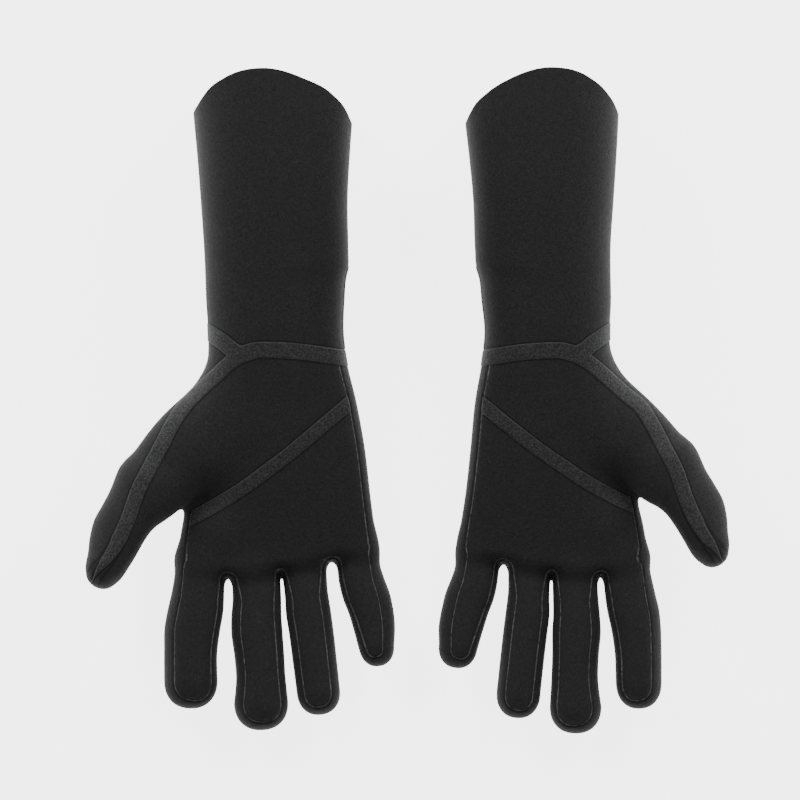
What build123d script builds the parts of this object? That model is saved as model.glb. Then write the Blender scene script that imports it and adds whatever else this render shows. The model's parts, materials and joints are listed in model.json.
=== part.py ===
"""Pair of insulated gauntlet gloves lying side by side, palms up, fingers towards -Y.

Units are millimetres. The origin is on the floor under the middle of the pair, +X runs across the
pair, +Y towards the cuffs and +Z up. Sizes across a glove are given as "out", the distance from
the plane between the two gloves, so a thumb is at a large "out" and a little finger at a small one.
"""
from build123d import *
from math import radians, sin, tan
import os

os.makedirs("parts", exist_ok=True)

# Layers of the glove wall
SHELL = 3.0  # foam-backed jersey
LINER = 1.5  # insulating liner
LINER_GAP = 0.2  # between shell and liner
TAPE = 0.8  # seam tape, standing on the shell
TAPE_GAP = 0.1  # glue line under the tape
LINER_OUTSIDE = SHELL + LINER_GAP
LINER_INSIDE = LINER_OUTSIDE + LINER

# Joints
JOINT_GAP = 0.4  # free space across every joint
WRIST_Y = 36.0
WRIST_BEND = 40.0  # degrees the cuff folds towards the palm
FINGER_LIFT = 4.0  # degrees the fingers rise towards their tips
KNUCKLE_Z = 13.5

# Oval of the wrist and the cuff mouth: height and corner radius
WRIST_HEIGHT = 50.0
WRIST_CORNER = 24.0
MOUTH_HEIGHT = 64.0
MOUTH_CORNER = 31.0
MOUTH_Y = 180.0  # where the mouth oval stands, just past the hem

# Where the hand's wall is cut into back panel, side walls and palm panel
PALM_CUT_WRIST = 38.0  # height of the palm panel's edge at the wrist
PALM_CUT_FINGERS = 17.5
BACK_CUT_WRIST = 12.0
BACK_CUT_FINGERS = 7.5
CUTS_FINGER_Y = -100.0
DIGIT_CUT = 5.0  # the same cuts on a digit, above and below its middle

STUB_LENGTH = 18.0  # finger root, from the joint into the hand
STUB_OVERLAP = 8.0  # how much further the root's hollow runs into the hand's
KNUCKLE_PASSAGE = 1.0  # how far a hollow runs past the end it opens

WRIST_TAPE_WIDTH = 9.0
PALM_TAPE_WIDTH = 7.5
THUMB_TAPE_WIDTH = 9.0
CUFF_TAPE_WIDTH = 8.0
CUFF_TAPE_Z = 30.0
CUFF_TAPE_END_Y = 70.0
TAPE_TOP = 80.0  # above every glove surface

# Thicknesses (palm to back) and corner radii of the digits
FINGER_CORNER = 8.0
THUMB_THICKNESS = 24.0
THUMB_WIDTH = 28.0
THUMB_LENGTH = 43.0
THUMB_LEAN = 23.5
THUMB_LIFT = 8.0
THUMB_ROLL = 20.0  # turns the thumb's bend inwards, over the palm
THUMB_Z = 29.0

# Thumb root, where it leaves the hand
THENAR_HEIGHT = 35.0
THENAR_CORNER = 14.0
THENAR_Z = 20.0

# One table per glove. hand: y, inner edge, outer edge, height, corner radius of each cross-section.
# fingers: knuckle out and y, lean outwards in degrees, knuckle to tip, width, thickness.
GLOVES = {
    "right": {
        "side": -1,
        "hand": [
            (WRIST_Y - JOINT_GAP, 34.5, 106.5, WRIST_HEIGHT, WRIST_CORNER),
            (0.0, 28.4, 112.5, 42.0, 18.0),
            (-50.0, 20.7, 121.6, 36.0, 15.0),
            (-88.0, 14.0, 122.7, 27.0, 11.0),
        ],
        "fingers": {
            "index": (113.4, -112.0, 1.4, 51.3, 28.2, 22.0),
            "middle": (80.6, -114.0, -3.8, 60.8, 26.8, 22.0),
            "ring": (53.8, -112.0, -6.1, 55.0, 23.0, 21.0),
            "little": (22.3, -103.0, -7.7, 38.5, 22.0, 19.0),
        },
        "thumb": (147.8, -59.1),
        "thenar": [(109.0, 14.0), (88.0, -45.0)],
        "cuff": [(70.5, 71.5), (71.8, 85.0)],
        "hem": [(115.0, 152.5), (76.0, 175.8), (29.0, 145.0)],
        "wrist_tape": [(34.0, 24.5), (60.0, 26.5), (91.4, 26.4)],
        "thumb_root_tape": [(91.4, 26.4), (120.0, -4.0), (133.0, -23.5), (147.0, -50.0)],
        "edge_tape": [(91.4, 26.4), (107.5, 38.0)],
        "palm_tape": [(28.0, 1.5), (51.1, -17.6), (87.7, -42.5), (118.0, -56.5)],
    },
    "left": {
        "side": 1,
        "hand": [
            (WRIST_Y - JOINT_GAP, 40.3, 107.3, WRIST_HEIGHT, WRIST_CORNER),
            (0.0, 34.7, 115.0, 42.0, 18.0),
            (-50.0, 30.2, 124.5, 36.0, 15.0),
            (-88.0, 23.5, 127.8, 27.0, 11.0),
        ],
        "fingers": {
            "index": (119.8, -112.0, 2.0, 51.3, 26.0, 22.0),
            "middle": (89.0, -114.0, -1.2, 62.3, 25.4, 22.0),
            "ring": (63.5, -112.0, -4.5, 56.4, 23.0, 21.0),
            "little": (32.6, -103.0, -8.5, 39.2, 22.0, 19.0),
        },
        "thumb": (146.4, -48.6),
        "thenar": [(110.0, 22.0), (92.0, -38.0)],
        "cuff": [(73.8, 67.0), (70.8, 80.5)],
        "hem": [(111.8, 153.5), (71.0, 176.2), (29.5, 147.0)],
        "wrist_tape": [(39.0, 24.5), (62.0, 26.5), (90.5, 26.4)],
        "thumb_root_tape": [(90.5, 26.4), (119.0, 2.0), (133.0, -15.0), (146.0, -40.0)],
        "edge_tape": [(90.5, 26.4), (108.5, 38.0)],
        "palm_tape": [(33.0, 1.5), (56.0, -17.0), (91.0, -38.0), (120.0, -51.0)],
    },
}


class Digit:
    """A finger or thumb: its knuckle plane (x across, y to the tip, z to the palm side) and size."""

    def __init__(self, side, place, lean, lift, roll, length, width, thickness):
        out, y, z = place
        self.side = side
        lean = radians(lean)
        flat = Vector(side * sin(lean), -(1 - sin(lean) ** 2) ** 0.5, 0)
        across = flat.cross(Vector(0, 0, 1))
        along = flat.rotate(Axis((0, 0, 0), across), lift)
        across = across.rotate(Axis((0, 0, 0), along), -side * roll)
        self.plane = Plane(origin=(side * out, y, z), x_dir=across, z_dir=across.cross(along))
        self.length = length
        self.width = width
        self.radius = thickness / 2
        self.root = -(self.radius + JOINT_GAP)

    def level(self, height):
        """Plane parallel to the digit's palm and back faces."""
        return self.plane.offset(height)

    def station(self, distance):
        """Cross-section plane at a distance from the knuckle, facing the tip."""
        plane = self.plane
        return Plane(plane.origin + plane.y_dir * distance, x_dir=plane.x_dir, z_dir=plane.y_dir)


def digit_section(digit, inset, align=(Align.CENTER, Align.CENTER)):
    """Rounded cross-section; an align other than the centre keeps only that half."""
    width = digit.width - 2 * inset
    height = 2 * (digit.radius - inset)
    RectangleRounded(width, height, FINGER_CORNER - inset)
    Rectangle(width, height, align=align, mode=Mode.INTERSECT)


def digit_form(digit, inset, start, knuckle=False):
    """Solid form of a digit from start to its round tip, with a round knuckle end if asked."""
    tip_middle = digit.length - digit.width / 2
    with BuildPart() as form:
        with BuildSketch(digit.station(start)):
            digit_section(digit, inset)
        extrude(amount=tip_middle - start)
        with BuildSketch(digit.station(tip_middle)):
            digit_section(digit, inset, (Align.MIN, Align.CENTER))
        tip_axis = Axis(digit.station(tip_middle).origin, digit.plane.z_dir)
        revolve(axis=tip_axis, revolution_arc=180)
        if knuckle:
            with BuildSketch(digit.station(0)):
                digit_section(digit, inset, (Align.CENTER, Align.MAX))
            revolve(axis=Axis(digit.plane.origin, digit.plane.x_dir), revolution_arc=180)
    return form.part


def digit_root(digit, inset, length):
    """Straight root of a digit, from its joint back into the hand."""
    with BuildPart() as root:
        with BuildSketch(digit.station(digit.root)):
            digit_section(digit, inset)
        extrude(amount=-length)
    return root.part


def hand_core(glove, inset):
    """The hand's closed form without fingers and thumb, lofted through its cross-sections."""
    wrist, *middle, web = glove["hand"]
    # the web end moves in with the wall, and the wrist end stays open
    sections = [wrist, *middle, (web[0] + inset, *web[1:])]
    with BuildPart() as core:
        for y, inner, outer, height, corner in sections:
            middle_x = glove["side"] * (inner + outer) / 2
            with BuildSketch(Plane((middle_x, y, height / 2), x_dir=(1, 0, 0), z_dir=(0, -1, 0))):
                RectangleRounded(outer - inner - 2 * inset, height - 2 * inset, corner - inset)
        loft(ruled=True)
    return core.part


def thenar_form(glove, thumb, inset):
    """Tapered form of the thumb root, from inside the hand to the thumb's joint."""
    side = glove["side"]
    outer, inner = [Vector(side * out, y, THENAR_Z) for out, y in glove["thenar"]]
    across = (outer - inner).normalized()
    facing = across.cross(Vector(0, 0, 1)) * -side
    with BuildPart() as form:
        with BuildSketch(Plane((outer + inner) / 2, x_dir=across * side, z_dir=facing)):
            width = (outer - inner).length - 2 * inset
            RectangleRounded(width, THENAR_HEIGHT - 2 * inset, THENAR_CORNER - inset)
        with BuildSketch(thumb.station(thumb.root)):
            digit_section(thumb, inset)
        loft(ruled=True)
    return form.part


def cuff_form(glove, inset):
    """The cuff's closed form, cut back at the palm side of the wrist so that it can fold."""
    side = glove["side"]
    (wrist_out, wrist_width), (mouth_out, mouth_width) = glove["cuff"]
    start = WRIST_Y + JOINT_GAP
    ends = [
        (start, wrist_out, wrist_width, WRIST_HEIGHT, WRIST_CORNER),
        (MOUTH_Y, mouth_out, mouth_width, MOUTH_HEIGHT, MOUTH_CORNER),
    ]
    with BuildPart() as form:
        for y, out, width, height, corner in ends:
            with BuildSketch(Plane((side * out, y, height / 2), x_dir=(1, 0, 0), z_dir=(0, -1, 0))):
                RectangleRounded(width - 2 * inset, height - 2 * inset, corner - inset)
        loft(ruled=True)
        # the fold's wedge, from the wrist axis up
        rise = TAPE_TOP - WRIST_HEIGHT / 2
        with BuildSketch(Plane.YZ.offset(side * wrist_out)):
            with BuildLine():
                Polyline(
                    (start, WRIST_HEIGHT / 2),
                    (start, TAPE_TOP),
                    (start + rise * tan(radians(WRIST_BEND)), TAPE_TOP),
                    close=True,
                )
            make_face()
        extrude(amount=wrist_width, both=True, mode=Mode.SUBTRACT)
        # the arched hem
        near, top, far = [(side * out, y) for out, y in glove["hem"]]
        with BuildSketch(Plane.XY.offset(-TAPE_TOP)):
            with BuildLine():
                ThreePointArc(near, top, far)
                Polyline(far, (far[0], 0), (near[0], 0), near)
            make_face()
        extrude(amount=2 * TAPE_TOP, mode=Mode.INTERSECT)
    return form.part


def cut_plane(wrist_z, finger_z):
    """Plane across the hand that falls from the wrist to the fingers."""
    run = Vector(0, CUTS_FINGER_Y - WRIST_Y, finger_z - wrist_z)
    return Plane((0, WRIST_Y, wrist_z), x_dir=(1, 0, 0), z_dir=Vector(-1, 0, 0).cross(run))


def tape_strips(side, paths, width):
    """Tall prisms over the tape paths, which cut the tape out of a thin skin."""
    with BuildPart() as strips:
        for path in paths:
            with BuildSketch(Plane.XY.offset(WRIST_HEIGHT / 4)):
                with BuildLine():
                    Polyline(*[(side * out, y) for out, y in path])
                trace(line_width=width)
            extrude(amount=TAPE_TOP)
    return strips.part


def save(part, name):
    """Labels one piece and writes its file."""
    part.label = name
    export_step(part, f"parts/{name}.step")


def make_finger(name, digit):
    """Palm-side panel, back panel, side strip between them, and liner of one finger."""
    outer = digit_form(digit, 0, 0, knuckle=True)
    hollow = digit_form(digit, SHELL, digit.root - KNUCKLE_PASSAGE)

    with BuildPart() as palm_panel:
        add(outer)
        add(hollow, mode=Mode.SUBTRACT)
        split(bisect_by=digit.level(DIGIT_CUT), keep=Keep.TOP)
    save(palm_panel.part, f"{name}_palm_panel")

    with BuildPart() as back_panel:
        add(outer)
        add(hollow, mode=Mode.SUBTRACT)
        split(bisect_by=digit.level(-DIGIT_CUT), keep=Keep.BOTTOM)
    save(back_panel.part, f"{name}_back_panel")

    with BuildPart() as side_strip:
        add(outer)
        add(hollow, mode=Mode.SUBTRACT)
        split(bisect_by=digit.level(DIGIT_CUT), keep=Keep.BOTTOM)
        split(bisect_by=digit.level(-DIGIT_CUT), keep=Keep.TOP)
    save(side_strip.part, f"{name}_side_strip")

    with BuildPart() as liner:
        add(digit_form(digit, LINER_OUTSIDE, 0))
        add(digit_form(digit, LINER_INSIDE, -KNUCKLE_PASSAGE), mode=Mode.SUBTRACT)
    save(liner.part, f"{name}_liner")


def make_thumb(name, thumb):
    """Thumb halves, liner and the seam tape that runs up the middle of its palm side."""
    outer = digit_form(thumb, 0, 0, knuckle=True)
    hollow = digit_form(thumb, SHELL, thumb.root - KNUCKLE_PASSAGE)

    # the halves meet along the thumb's middle, the outer one away from the fingers
    middle = Plane(thumb.plane.origin, z_dir=thumb.plane.x_dir * -thumb.side)

    with BuildPart() as inner_panel:
        add(outer)
        add(hollow, mode=Mode.SUBTRACT)
        split(bisect_by=middle, keep=Keep.BOTTOM)
    save(inner_panel.part, f"{name}_inner_panel")

    with BuildPart() as outer_panel:
        add(outer)
        add(hollow, mode=Mode.SUBTRACT)
        split(bisect_by=middle, keep=Keep.TOP)
    save(outer_panel.part, f"{name}_outer_panel")

    with BuildPart() as seam_tape:
        add(digit_form(thumb, -TAPE_GAP - TAPE, 0))
        add(digit_form(thumb, -TAPE_GAP, -KNUCKLE_PASSAGE), mode=Mode.SUBTRACT)
        with BuildSketch(thumb.plane):
            Rectangle(THUMB_TAPE_WIDTH, 2 * THUMB_LENGTH + THUMB_WIDTH)
        extrude(amount=THUMB_THICKNESS, mode=Mode.INTERSECT)
    save(seam_tape.part, f"{name}_seam_tape")

    with BuildPart() as liner:
        add(digit_form(thumb, LINER_OUTSIDE, 0))
        add(digit_form(thumb, LINER_INSIDE, -KNUCKLE_PASSAGE), mode=Mode.SUBTRACT)
    save(liner.part, f"{name}_liner")


def hand_form(glove, fingers, inset):
    """Hand with its four finger roots, without the thumb root."""
    root_length = STUB_LENGTH + (STUB_OVERLAP if inset > 0 else 0)
    with BuildPart() as form:
        add(hand_core(glove, inset))
        for finger in fingers:
            add(digit_root(finger, inset, root_length))
    return form.part


def make_hand(name, glove, fingers, thumb):
    """Back panel, palm panel, side walls, thumb root, liner and seam tapes of one hand."""
    side = glove["side"]
    outer = hand_form(glove, fingers, 0)
    hollow = hand_form(glove, fingers, SHELL)
    thumb_root = thenar_form(glove, thumb, 0)
    thumb_hollow = thenar_form(glove, thumb, SHELL)
    palm_cut = cut_plane(PALM_CUT_WRIST, PALM_CUT_FINGERS)
    back_cut = cut_plane(BACK_CUT_WRIST, BACK_CUT_FINGERS)

    with BuildPart() as wall:
        add(outer)
        add(hollow, mode=Mode.SUBTRACT)
        add(thumb_hollow, mode=Mode.SUBTRACT)

    with BuildPart() as palm_panel:
        add(wall.part)
        split(bisect_by=palm_cut, keep=Keep.TOP)
    save(palm_panel.part, f"{name}_hand_palm_panel")

    with BuildPart() as back_panel:
        add(wall.part)
        split(bisect_by=back_cut, keep=Keep.BOTTOM)
    save(back_panel.part, f"{name}_hand_back_panel")

    with BuildPart() as side_walls:
        add(wall.part)
        split(bisect_by=palm_cut, keep=Keep.BOTTOM)
        split(bisect_by=back_cut, keep=Keep.TOP)
    save(side_walls.part, f"{name}_hand_side_walls")

    with BuildPart() as thumb_panel:
        add(thumb_root)
        add(thumb_hollow, mode=Mode.SUBTRACT)
        add(outer, mode=Mode.SUBTRACT)
        add(hollow, mode=Mode.SUBTRACT)
    save(thumb_panel.part, f"{name}_thumb_root_panel")

    with BuildPart() as liner:
        add(hand_form(glove, fingers, LINER_OUTSIDE))
        add(thenar_form(glove, thumb, LINER_OUTSIDE))
        add(hand_form(glove, fingers, LINER_INSIDE), mode=Mode.SUBTRACT)
        add(thenar_form(glove, thumb, LINER_INSIDE), mode=Mode.SUBTRACT)
    save(liner.part, f"{name}_hand_liner")

    wrist_paths = [glove["wrist_tape"], glove["thumb_root_tape"], glove["edge_tape"]]
    tapes = [
        ("wrist_seam_tape", wrist_paths, WRIST_TAPE_WIDTH),
        ("palm_seam_tape", [glove["palm_tape"]], PALM_TAPE_WIDTH),
    ]
    for tape_name, paths, width in tapes:
        with BuildPart() as tape:
            add(hand_core(glove, -TAPE_GAP - TAPE))
            add(thenar_form(glove, thumb, -TAPE_GAP - TAPE))
            add(hand_form(glove, fingers, -TAPE_GAP), mode=Mode.SUBTRACT)
            add(thenar_form(glove, thumb, -TAPE_GAP), mode=Mode.SUBTRACT)
            add(tape_strips(side, paths, width), mode=Mode.INTERSECT)
        save(tape.part, f"{name}_{tape_name}")


def make_cuff(name, glove):
    """Sleeve, liner and side seam tape of one cuff."""
    side = glove["side"]
    with BuildPart() as sleeve:
        add(cuff_form(glove, 0))
        add(cuff_form(glove, SHELL), mode=Mode.SUBTRACT)
    save(sleeve.part, f"{name}_cuff_sleeve")

    with BuildPart() as liner:
        add(cuff_form(glove, LINER_OUTSIDE))
        add(cuff_form(glove, LINER_INSIDE), mode=Mode.SUBTRACT)
    save(liner.part, f"{name}_cuff_liner")

    # the tape lies on the little-finger side, low enough to clear the fold
    (wrist_out, _), _ = glove["cuff"]
    with BuildPart() as tape:
        add(cuff_form(glove, -TAPE_GAP - TAPE))
        add(cuff_form(glove, -TAPE_GAP), mode=Mode.SUBTRACT)
        with BuildSketch(Plane.YZ.offset(side * wrist_out)):
            with Locations((0, CUFF_TAPE_Z)):
                Rectangle(2 * CUFF_TAPE_END_Y, CUFF_TAPE_WIDTH)
        extrude(amount=-side * TAPE_TOP, mode=Mode.INTERSECT)
    save(tape.part, f"{name}_cuff_side_tape")


for glove_name, glove in GLOVES.items():
    side = glove["side"]
    fingers = {
        finger_name: Digit(side, (out, y, KNUCKLE_Z), lean, FINGER_LIFT, 0, length, width, thickness)
        for finger_name, (out, y, lean, length, width, thickness) in glove["fingers"].items()
    }
    thumb = Digit(
        side,
        (*glove["thumb"], THUMB_Z),
        THUMB_LEAN,
        THUMB_LIFT,
        THUMB_ROLL,
        THUMB_LENGTH,
        THUMB_WIDTH,
        THUMB_THICKNESS,
    )
    make_cuff(glove_name, glove)
    make_hand(glove_name, glove, list(fingers.values()), thumb)
    for finger_name, finger in fingers.items():
        make_finger(f"{glove_name}_{finger_name}", finger)
    make_thumb(f"{glove_name}_thumb", thumb)
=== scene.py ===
"""Looks for the pair of insulated gauntlet gloves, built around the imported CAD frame."""
import json
from math import cos, radians, sin

import bmesh
import bpy
import numpy as np
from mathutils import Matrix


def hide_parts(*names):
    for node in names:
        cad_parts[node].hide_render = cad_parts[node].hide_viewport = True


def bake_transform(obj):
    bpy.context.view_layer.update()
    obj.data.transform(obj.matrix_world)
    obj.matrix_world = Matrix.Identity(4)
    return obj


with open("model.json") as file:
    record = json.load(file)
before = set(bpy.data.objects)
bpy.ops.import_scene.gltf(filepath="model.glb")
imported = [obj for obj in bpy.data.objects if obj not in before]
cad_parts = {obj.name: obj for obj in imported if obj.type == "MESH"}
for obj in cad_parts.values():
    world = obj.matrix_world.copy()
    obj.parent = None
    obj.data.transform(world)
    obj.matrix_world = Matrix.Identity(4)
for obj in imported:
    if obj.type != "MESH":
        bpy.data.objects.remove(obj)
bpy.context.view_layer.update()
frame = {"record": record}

import openvdb
from mathutils import Vector

MM = 0.001

# ---------------------------------------------------------------- shape tables, in millimetres
# A glove is described by "out" (distance from the plane between the gloves), y and z.
# A digit is described from its knuckle. Its edge has s along the digit, then the half width towards
# the little finger's side and the half width towards the thumb's side. It rounds off from cap to tip,
# is half high on each side of its middle, and parts from the hand at cut.

FAR = 60.0  # a distance larger than any that matters
SKIN_VOXEL = 0.95
LINER_VOXEL = 2.0
SETTLING_ROUNDS = 2
FINGERS = ("index", "middle", "ring", "little")

# walls
WALL = 3.0  # foam-backed jersey
LINER_GAP = 0.2
LINER_WALL = 1.5
LINER_HEM = 1.0  # the liner stops this far inside the hem
BACK_HEIGHT = 0.5  # the backs rest flat just above the floor, clear of the tapes' lift

# seams, threads and tapes
SEAM_INSET = 4.2  # seams of palm and back, from the outline
GROOVE_WIDTH = 0.75
GROOVE_DEPTH = 0.45
GROOVE_SHARPNESS = 1.2
NO_SEAM = 9.0  # a distance at which no groove is left
THREAD = 0.3  # half width
THREAD_LIFT = 0.5
THREAD_SINK = 1.0
TAPE_LIFT = 0.35
TAPE_SINK = 0.3
TAPE_CLEARANCE = 0.03
TAPE_EDGE = 0.7  # width over which a tape's edge rises
WRIST_TAPE_HALF = 4.2
ARM_TAPE_HALF = 3.9
PALM_TAPE_HALF = 3.6
CUFF_TAPE_HALF = 5.0
CUFF_TAPE_TOP = 72.0
CUFF_TAPE_OUT = 60.0
CUFF_TAPE_MELT = 4
CUFF_TAPE_START = 4.6  # above the middle of the wrist tape
PALM_TAPE_OVERLAP = 0.4  # past the seams at the palm's sides
THUMB_TAPE_PLACES = (16, 30, 40)  # s along the thumb
THUMB_TAPE_HALVES = (ARM_TAPE_HALF, 2.6, 0.3)
PAINTED_SHADOW_PLACE = 0.3  # where the painted shadow line beside a tape lies, just outside its edge
WALL_TOPS = {"right": -60.0, "left": -50.0}  # y where the thumb-side wall of the palm begins
WALL_OUT = 85  # the palm's thumb side is further out than this
WALL_DEPTH = 8  # the wall's upper edge is cut this far in from the outline
THUMB_SEAM_ENDS = {"right": (182, -130), "left": (181, -120)}

# how the digits stand, in degrees, and how softly the parts melt together
FINGER_LIFT = 4.0
THUMB_LIFT = 8.0
THUMB_LEAN = 23.5
FINGER_ROOT = 34  # length of a finger inside the hand
THUMB_ROOT = 24
ROOT_MELT = 10
THUMB_MELT = 9
FINGER_MELT = 7
WEB_MELT = 7
OUTLINE_MELT = 5
BACK_MELT = 1.5
ROOT_ROUNDING = 9  # how a digit's end inside the hand is rounded

# cross sections: powers of their ovals (2 is an ellipse), and how digits and thumb root end
TRUNK_POWER = 2.5
DIGIT_POWER = 2.25
THUMB_ROOT_POWER = 2.2
DIGIT_THINNING = 0.1  # share of its height that a digit loses towards its tip
DIGIT_REACH = 34  # a digit's field is worked out this far from its middle line
DIGIT_END_REACH = 14  # and this far past its ends
THUMB_ROOT_START = 6  # the thumb root rounds off from this far before its start
THUMB_ROOT_END = 4  # and from this far before its end
THUMB_ROOT_CAP = 14  # over this length
HOLLOW_HEIGHT = 12  # the palm's dents fade in above this height, over as much again

# heights of the middle plane at which the hand's outline is read
KNUCKLE_Y = -84
KNUCKLE_HEIGHT = 13.5
FINGER_RISE = 0.06

# finger seams: where they start, and how their distance from the outline changes
SEAM_START = -26
SEAM_FADE_START = 25
SEAM_FADE = 18
SEAM_SPREAD = 16

# the line that parts the palm side from the back is level beside the thumb
THUMB_LEVEL = 26.0
THUMB_LEVEL_OUT = 114.0
THUMB_LEVEL_FADE = 20.0
THUMB_LEVEL_TOP = 30

# how near a digit's own surface a place counts as the digit's
DIGIT_SKIN = 4.0
CUT_SKIN = 4.5
CUT_MARGIN = 0.5
CUT_REACH = 6

# the space that the fields fill, and how they become a mesh
FIELD_LOW = (8.0, -187.0, -5.0)
FIELD_HIGH = (190.0, 184.0, 70.0)
BLOCK = 8  # voxels along a block's side
BLOCKS_AT_ONCE = 400
BLOCK_REACH = 1.2  # in block sides, more than half a block's diagonal
LEAST_SLOPE = 0.2
LONGEST_STEP = 2
MESH_TOP = 180.0  # the mesh stops here, above the hem
CUT_SNAP = 0.05  # points this close to a cut count as on it

# where the skin is cut between the thumb and the hand: s along the thumb
THUMB_CUT = -11.0

DIGITS = {
    "right": {
        "index": dict(
            edge=[(-34, 14.0, 10.0), (-22, 15.0, 11.2), (-10, 15.2, 12.9), (0, 14.9, 14.9),
                  (9, 13.6, 16.2), (20, 12.4, 16.1), (38, 12.9, 15.6)],
            tip=51.3, cap=36, half=11.3, cut=-15.5),
        "middle": dict(
            edge=[(-34, 13.0, 12.5), (-22, 13.6, 12.2), (-10, 13.6, 12.3), (0, 13.1, 13.7),
                  (8, 13.1, 14.2), (20, 13.2, 13.4), (32, 13.1, 13.2), (46, 13.6, 15.2)],
            tip=60.8, cap=46, half=11.6, cut=-17.0),
        "ring": dict(
            edge=[(-34, 12.0, 11.3), (-20, 12.4, 11.1), (-10, 12.1, 11.0), (0, 12.6, 11.4),
                  (10, 12.9, 10.9), (25, 13.0, 10.5), (42, 13.0, 10.1)],
            tip=55.0, cap=42, half=10.9, cut=-16.5),
        "little": dict(
            edge=[(-34, 7.6, 12.5), (-20, 8.6, 13.2), (-8, 10.6, 13.6), (0, 12.4, 12.7),
                  (9, 13.2, 10.6), (18, 12.9, 9.2), (28, 11.2, 7.9)],
            tip=38.3, cap=26, half=9.9, cut=-15.0),
        "thumb": dict(
            edge=[(-30, 17.0, 11.8), (-18, 18.0, 12.5), (-8, 17.0, 14.2), (2, 14.8, 15.2),
                  (11, 13.0, 16.0), (20, 12.0, 14.4), (30, 10.3, 11.2), (38, 8.6, 9.8)],
            tip=43.4, cap=31, half=12.2, cut=THUMB_CUT),
    },
    "left": {
        "index": dict(
            edge=[(-34, 14.0, 8.0), (-22, 15.4, 9.6), (-10, 15.0, 11.8), (0, 13.9, 13.7),
                  (8, 12.4, 14.2), (20, 11.0, 14.1), (38, 10.9, 13.5)],
            tip=51.4, cap=37, half=11.1, cut=-15.5),
        "middle": dict(
            edge=[(-34, 12.6, 11.0), (-22, 12.8, 11.0), (-10, 12.4, 11.8), (0, 12.1, 12.9),
                  (8, 12.4, 13.5), (20, 12.2, 12.7), (34, 12.4, 12.6), (48, 12.9, 14.6)],
            tip=62.5, cap=48, half=11.4, cut=-16.5),
        "ring": dict(
            edge=[(-34, 12.0, 10.5), (-20, 12.0, 10.5), (-10, 11.4, 10.7), (0, 11.8, 11.6),
                  (10, 12.3, 11.2), (25, 12.8, 10.6), (42, 13.3, 10.1)],
            tip=56.6, cap=43, half=10.8, cut=-15.5),
        "little": dict(
            edge=[(-34, 8.0, 12.5), (-20, 9.0, 13.0), (-8, 11.0, 13.6), (0, 12.9, 13.0),
                  (9, 13.8, 11.1), (18, 14.0, 9.7), (28, 12.5, 8.3)],
            tip=39.4, cap=27, half=9.9, cut=-14.0),
        "thumb": dict(
            edge=[(-30, 17.0, 11.0), (-18, 18.0, 13.1), (-8, 17.5, 15.2), (2, 14.6, 16.8),
                  (11, 12.2, 17.6), (20, 10.6, 15.8), (30, 9.3, 12.1), (38, 7.6, 10.2)],
            tip=42.6, cap=30, half=12.2, cut=THUMB_CUT),
    },
}
# y, inner edge, outer edge, height of the cuff and palm without the thumb root
TRUNKS = {
    "right": [
        (-120, 13.4, 125.0, 24), (-84, 15.8, 122.8, 27), (-66, 18.1, 120.5, 31),
        (-50, 20.1, 117.5, 34.5), (-26, 22.9, 114.0, 38.5), (1, 27.8, 110.0, 43),
        (22, 32.8, 106.5, 47.5), (36, 34.6, 106.3, 50), (54, 34.2, 107.4, 52.5),
        (66, 33.2, 107.8, 54), (72, 31.8, 108.0, 55), (80, 31.8, 108.4, 56),
        (107, 32.2, 110.2, 59.5), (134, 30.8, 112.3, 62), (148, 29.8, 113.6, 63),
        (180, 28.0, 116.0, 64),
    ],
    "left": [
        (-120, 21.6, 130.0, 24), (-84, 25.2, 127.6, 27), (-66, 27.6, 125.0, 31),
        (-50, 30.0, 121.5, 34.5), (-26, 32.7, 117.0, 38.5), (1, 35.4, 111.0, 43),
        (22, 39.0, 107.4, 47.5), (36, 40.6, 106.8, 50), (54, 39.0, 107.5, 52.5),
        (66, 37.6, 107.3, 54), (72, 35.8, 107.2, 55), (80, 35.2, 107.2, 56),
        (107, 34.2, 108.8, 59.5), (134, 31.6, 110.5, 62), (148, 30.0, 111.2, 63), (180, 28.4, 111.8, 64),
    ],
}
# out, y of the line where the palm ends between the fingers
WEBS = {
    "right": [(30, -82.0), (68, -90.0), (96, -92.5), (125, -86)],
    "left": [(40, -83.0), (76, -90.5), (103, -91.5), (130, -84)],
}
# thumb root: its two ends, and s, inner half width, outer half width, half height
THUMB_ROOTS = {
    "right": dict(
        start=(94, -8, 21), end=(140, -47, 27),
        edge=[(0, 22, 25.0, 18.0), (30, 24, 23.8, 15.5), (60, 19, 17.2, 12.6)]),
    "left": dict(
        start=(97, 2, 21), end=(139, -37, 27),
        edge=[(0, 22, 20.0, 18.0), (30, 24, 20.0, 15.5), (58, 21, 17.0, 12.6)]),
}
# out, y of the arched hem
HEMS = {
    "right": [(26, 140), (29.5, 146.5), (33, 154), (40, 162), (55, 170.3), (77, 175.8),
              (97, 170.8), (106, 164.3), (112, 156), (117, 148)],
    "left": [(28, 142), (31, 149.5), (34.5, 156), (41, 162.5), (54, 170.5), (76, 176.2),
             (96, 170.6), (104, 164), (109, 157), (113, 148)],
}
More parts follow.
